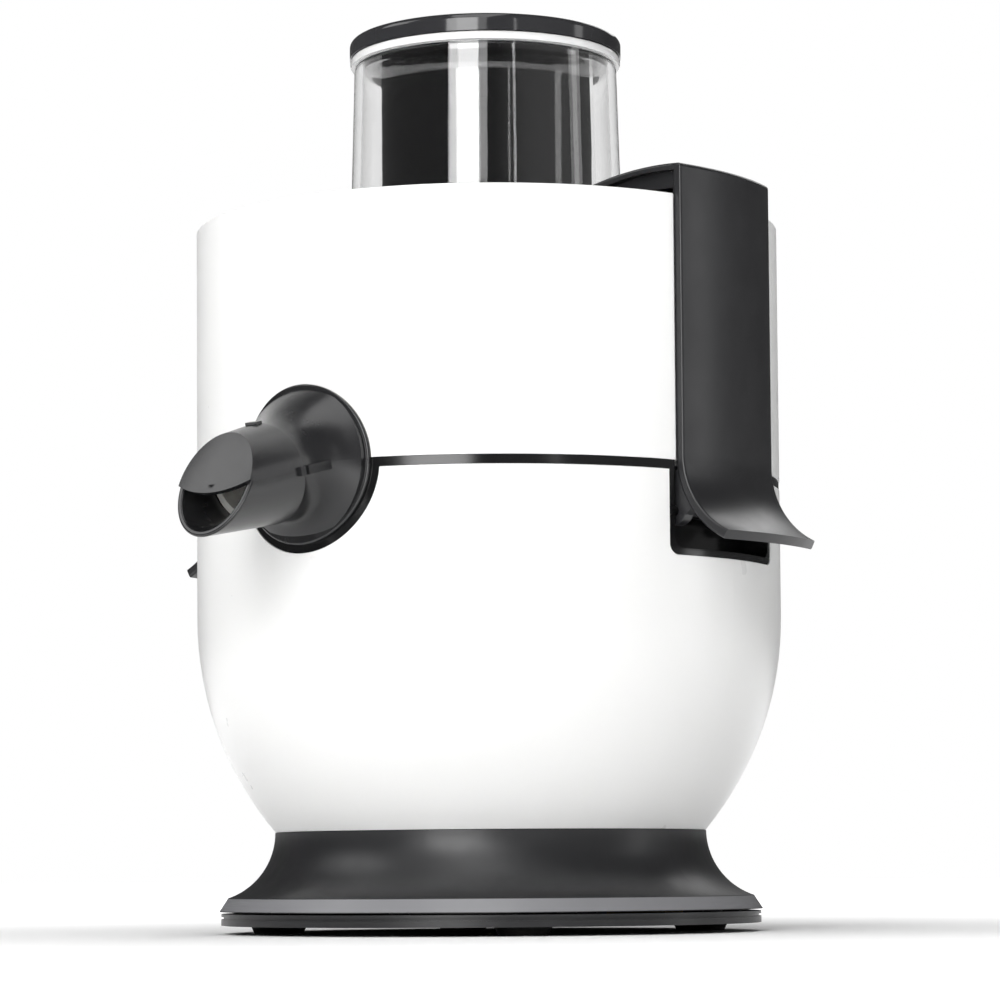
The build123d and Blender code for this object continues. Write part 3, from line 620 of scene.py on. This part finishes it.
# %% Screws
HEAD_R = 3.0 * MM
SHANK_R = 1.25 * MM
HEAD_H = 1.3 * MM
PITCH = 0.8 * MM
THREAD_WAIST = 0.78
HEAD_ROUND = 0.4 * MM
CROSS_LONG = 3.2 * MM
CROSS_WIDE = 0.7 * MM
CROSS_DEEP = 0.8 * MM
SCREW_CIRCLE = 87.5 * MM
SCREW_ANGLES = (15, 105, 195, 285)


def cross_bars(z):
    """Two crossed bars that go CROSS_DEEP into a head whose face is at height z."""
    bars = []
    for width, length in ((CROSS_WIDE, CROSS_LONG), (CROSS_LONG, CROSS_WIDE)):
        bpy.ops.mesh.primitive_cube_add(size=1, location=(0, 0, z))
        bpy.context.object.scale = (width, length, 2 * CROSS_DEEP)
        bars.append(join([bpy.context.object], "cross_bar"))
    return bars


def pan_screw(low_z, high_z):
    select_none()
    bpy.ops.mesh.primitive_cylinder_add(vertices=24, radius=HEAD_R, depth=HEAD_H,
                                        location=(0, 0, low_z + HEAD_H / 2))
    screw = bpy.context.object
    open_edit(screw)
    pick(screw, lambda at, normal: normal.z > 0.9)
    inset((HEAD_R - SHANK_R) / MM)
    turns = int((high_z - low_z - HEAD_H) / PITCH)
    for turn in range(turns):
        bpy.ops.mesh.extrude_region_move(TRANSFORM_OT_translate={"value": (0, 0, PITCH)})
        size = THREAD_WAIST if turn % 2 == 0 else 1 / THREAD_WAIST
        bpy.ops.transform.resize(value=(size, size, 1), center_override=(0, 0, 0))
    pick(screw, lambda a, b: max(a.z, b.z) < low_z + NEAR, edges=True)
    bpy.ops.mesh.bevel(offset=HEAD_ROUND, segments=3)
    select_none()
    for bar in cross_bars(low_z):
        cut = screw.modifiers.new("cross", "BOOLEAN")
        cut.operation = "DIFFERENCE"
        cut.object = bar
        bpy.context.view_layer.objects.active = screw
        bpy.ops.object.modifier_apply(modifier=cut.name)
        bpy.data.objects.remove(bar)
    return screw


screw = pan_screw(bottom("base_screws"), top("base_screws"))
turns = [radians(angle) for angle in SCREW_ANGLES]
screws = [copy_to(screw, SCREW_CIRCLE * cos(turn), SCREW_CIRCLE * sin(turn)) for turn in turns]
bpy.data.objects.remove(screw)
SCREW_SLOT = SLOT_OF["base_screws"]
hand_in(join(screws, "plate_screws"), FINISHES[SCREW_SLOT], SCREW_SLOT, "machine", "base_screws")

# %% [markdown]
# ## The speed knob
# The knob is a fluted disc with a grip bar across it. The disc starts as a cylinder with its axis
# along X. Every third side face is inset and sunk, which gives even flutes all round, and the front
# is bevelled and dished. The bar is a box with its corners rounded off.

# %% Speed knob
KNOB_SIDES = 72
KNOB_ROUND = 0.9 * MM
BAR_PROUD = 6.0 * MM
BAR_WIDE = 8 * MM
BAR_LONG = 31 * MM
BAR_END_ROUND = 3.4 * MM
BAR_EDGE_ROUND = 0.6 * MM


def knob_disc(low, high, face_x):
    middle = (low + high) / 2
    radius = (high.y - low.y) / 2
    depth = high.x - face_x
    bpy.ops.mesh.primitive_cylinder_add(
        vertices=KNOB_SIDES, radius=radius, depth=depth, rotation=(0, pi / 2, 0),
        location=(face_x + depth / 2, middle.y, middle.z))
    disc = bpy.context.object
    open_edit(disc)
    pick(disc, lambda a, b: max(a.x, b.x) < face_x + NEAR, edges=True)
    bpy.ops.mesh.bevel(offset=KNOB_ROUND, segments=3)

    def every_third(at, normal):
        turn = round(atan2(at.z - middle.z, at.y - middle.y) / (2 * pi / KNOB_SIDES) - 0.5)
        return abs(normal.x) < 0.01 and turn % 3 == 0

    pick(disc, every_third)
    inset(0.25, -0.5, each=True)
    pick(disc, lambda at, normal: normal.x < -0.999)
    inset(1.4)
    inset(0.4, -0.5)
    select_none()
    return disc


def knob_bar(low, face_x, middle):
    half_x = (face_x + KNOB_ROUND - low.x) / 2
    bpy.ops.mesh.primitive_cube_add(size=1, location=(low.x + half_x, middle.y, middle.z))
    bar = bpy.context.object
    bar.scale = (2 * half_x, BAR_WIDE, BAR_LONG)
    open_edit(bar)
    pick(bar, lambda a, b: abs(a.x - b.x) > half_x, edges=True)
    bpy.ops.mesh.bevel(offset=BAR_END_ROUND, segments=6)
    pick(bar, lambda a, b: max(a.x, b.x) < low.x + NEAR, edges=True)
    bpy.ops.mesh.bevel(offset=BAR_EDGE_ROUND, segments=3)
    select_none()
    return bar


low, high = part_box("speed_knob")
face_x = low.x + BAR_PROUD
select_none()
disc = knob_disc(low, high, face_x)
bar = knob_bar(low, face_x, (low + high) / 2)
KNOB_SLOT = SLOT_OF["speed_knob"]
hand_in(join([disc, bar], "fluted_knob"), FINISHES[KNOB_SLOT], KNOB_SLOT, "knob", "speed_knob")

# %% [markdown]
# ## The dial round the knob
# The knob clicks at three places, a quarter turn in all. Each has a raised tick on the ring behind
# the knob and a printed number on the casing: off and two speeds. A number starts as flat text. It
# becomes a mesh, is pressed onto the round casing with Shrinkwrap, and Solidify makes it ink thick.

# %% Dial
KNOB_CENTRE = (low + high) / 2
STOPS = (("0", 0), ("1", 45), ("2", 90))
TICK_AT = 19.0 * MM
NUMBER_AT = 26.0 * MM
TICK_SIZE = (0.4 * MM, 0.9 * MM, 2.6 * MM)
NUMBER_SIZE = 6.5 * MM
INK_THICK = 0.1 * MM
INK = FINISHES["dark_plastic"]


def on_dial(angle, radius):
    turn = radians(angle)
    return KNOB_CENTRE.y + radius * sin(turn), KNOB_CENTRE.z + radius * cos(turn)


def tick(angle):
    select_none()
    y, z = on_dial(angle, TICK_AT)
    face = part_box("knob_bezel")[0].x
    bpy.ops.mesh.primitive_cube_add(size=1, location=(face, y, z), rotation=(-radians(angle), 0, 0))
    mark = bpy.context.object
    mark.scale = TICK_SIZE
    open_edit(mark)
    pick(mark, lambda a, b: max(a.x, b.x) < face, edges=True)
    bpy.ops.mesh.bevel(offset=0.12 * MM, segments=2)
    select_none()
    return mark


def number(text, angle):
    select_none()
    y, z = on_dial(angle, NUMBER_AT)
    bpy.ops.object.text_add(location=(-BODY_R - 2 * MM, y, z), rotation=(pi / 2, 0, -pi / 2))
    sign = bpy.context.object
    sign.data.body = text
    sign.data.size = NUMBER_SIZE
    sign.data.align_x = "CENTER"
    sign.data.align_y = "CENTER"
    bpy.ops.object.convert(target="MESH")
    sign = bpy.context.object
    open_edit(sign)
    bpy.ops.mesh.select_all(action="SELECT")
    bpy.ops.mesh.remove_doubles(threshold=0.01 * MM)
    select_none()
    bpy.context.view_layer.objects.active = sign
    press = sign.modifiers.new("press", "SHRINKWRAP")
    press.target = NODES["lower_shell"]
    press.wrap_method = "PROJECT"
    press.use_project_x = True
    press.use_positive_direction = True
    press.offset = 0.03 * MM
    bpy.ops.object.modifier_apply(modifier=press.name)
    ink = sign.modifiers.new("ink", "SOLIDIFY")
    ink.thickness = INK_THICK
    ink.offset = 0
    bpy.ops.object.modifier_apply(modifier=ink.name)
    return sign


hand_in(join([tick(angle) for _, angle in STOPS], "dial_ticks"), INK, "dark_plastic", "machine")
hand_in(join([number(*stop) for stop in STOPS], "dial_numbers"), INK, "dark_plastic", "machine")

# %% [markdown]
# ## The studio
# The machine stands on pale paper. Close to it the paper shows its shadow; further out it glows, the
# further the brighter, until it is as white as the air above and no horizon shows. Six soft boxes
# light it. The key, low and a little left of the camera, gives the casing and the foot their
# highlights, and a tall one above it lights the casing and the lid from the front. Weaker ones at
# the back, at the left and at the far right keep those sides readable, and a narrow strip draws a
# thin line on what is glossy.
#
# The air is white only where the eye sees it, straight or through the clear plastic. What is mirrored
# is a dim room that is brighter towards one side.

# %% Floor and lights
FLOOR_SIZE = 12.0
FLOOR_GLOW = 1.0
GLOW_FROM = 0.11
GLOW_FULL = 0.7
ROOM_DARK = 0.08
ROOM_BRIGHT = 0.25
ROOM_BRIGHT_AZIMUTH = 105
LEAST_ONWARD = 0.3
AIM = Vector((0, 0, 0.17))

# Name, azimuth and elevation in degrees, distance in metres, width and height in metres, watts.
SOFT_BOXES = (
    ("key_softbox", 18, 13, 1.6, (0.7, 0.85), 12),
    ("over_softbox", 26, 52, 1.7, (0.85, 2.4), 15),
    ("back_softbox", 195, 38, 1.8, (1.2, 0.8), 7),
    ("left_softbox", -46, 36, 1.5, (0.7, 0.6), 3.6),
    ("lever_softbox", 122, 10, 2.0, (0.3, 1.2), 2.2),
    ("strip_softbox", 62, 8, 2.2, (0.06, 1.0), 0.7),
)


def make_floor():
    bpy.ops.object.select_all(action="DESELECT")
    bpy.ops.mesh.primitive_plane_add(size=FLOOR_SIZE, location=(0, 0, 0))
    floor = bpy.context.object
    floor.name = "studio_floor"
    material, tree, shader = new_material("pale_studio_paper")
    shader.inputs["Base Color"].default_value = linear("#fbfbfb")
    shader.inputs["Roughness"].default_value = 0.9
    shader.inputs["Emission Color"].default_value = linear("#ffffff")
    away = add(tree, "VectorMath", {"operation": "LENGTH"}, _0=place(tree)).outputs["Value"]
    glow = spread(tree, away, 0.0, FLOOR_GLOW, GLOW_FROM, GLOW_FULL)
    tree.links.new(glow, shader.inputs["Emission Strength"])
    floor.data.materials.append(material)


def soft_box(name, azimuth, elevation, distance, size, watts):
    """A rectangular area light that looks at the middle of the machine."""
    data = bpy.data.lights.new(name, "AREA")
    data.shape = "RECTANGLE"
    data.size, data.size_y = size
    data.energy = watts
    light = bpy.data.objects.new(name, data)
    bpy.context.scene.collection.objects.link(light)
    turn, lift = radians(azimuth), radians(elevation)
    back = Vector((sin(turn) * cos(lift), -cos(turn) * cos(lift), sin(lift)))
    light.location = AIM + back * distance
    light.rotation_euler = back.to_track_quat("Z", "Y").to_euler()


def toward(tree, direction, azimuth):
    """How far a direction points to an azimuth: 1 when straight to it, 0 when across, else less."""
    turn = radians(azimuth)
    aim = (sin(turn), -cos(turn), 0)
    return add(tree, "VectorMath", {"operation": "DOT_PRODUCT"}, _0=direction, _1=aim).outputs["Value"]


def make_world():
    """White for the eye and for what is seen through clear plastic, and a dim room for all else.

    A ray that the pusher in the clear tube has mirrored no longer counts as seen through the tube,
    or the black pusher would mirror a white room and turn grey. A ray that has come through no
    more than two surfaces, and that still runs away from the viewer, does count.
    """
    world = bpy.data.worlds.new("studio_air")
    world.use_nodes = True
    tree = world.node_tree
    tree.nodes.clear()
    direction = add(tree, "TexCoord").outputs["Generated"]
    room = spread(tree, toward(tree, direction, ROOM_BRIGHT_AZIMUTH), ROOM_DARK, ROOM_BRIGHT, 0.5, 0.9)
    path = add(tree, "LightPath").outputs
    unmirrored = calc(tree, "LESS_THAN", path["Glossy Depth"], 0.5)
    shallow = calc(tree, "LESS_THAN", path["Transmission Depth"], 2.5)
    ahead = calc(tree, "GREATER_THAN", toward(tree, direction, CAMERA_AZIMUTH + 180), LEAST_ONWARD)
    counted = calc(tree, "MAXIMUM", unmirrored, calc(tree, "MULTIPLY", shallow, ahead))
    through = calc(tree, "MULTIPLY", path["Is Transmission Ray"], counted)
    seen = calc(tree, "MAXIMUM", path["Is Camera Ray"], through)
    level = add(tree, "Mix", {"data_type": "FLOAT"}, _0=seen, _2=room, _3=1.0)
    air = add(tree, "Background", Color=linear("#ffffff"), Strength=level.outputs[0])
    output = tree.nodes.new("ShaderNodeOutputWorld")
    tree.links.new(air.outputs[0], output.inputs["Surface"])
    bpy.context.scene.world = world


make_floor()
make_world()
for settings in SOFT_BOXES:
    soft_box(*settings)
bpy.context.scene.view_settings.view_transform = "Standard"
print(f"floor, room and {len(SOFT_BOXES)} soft boxes")
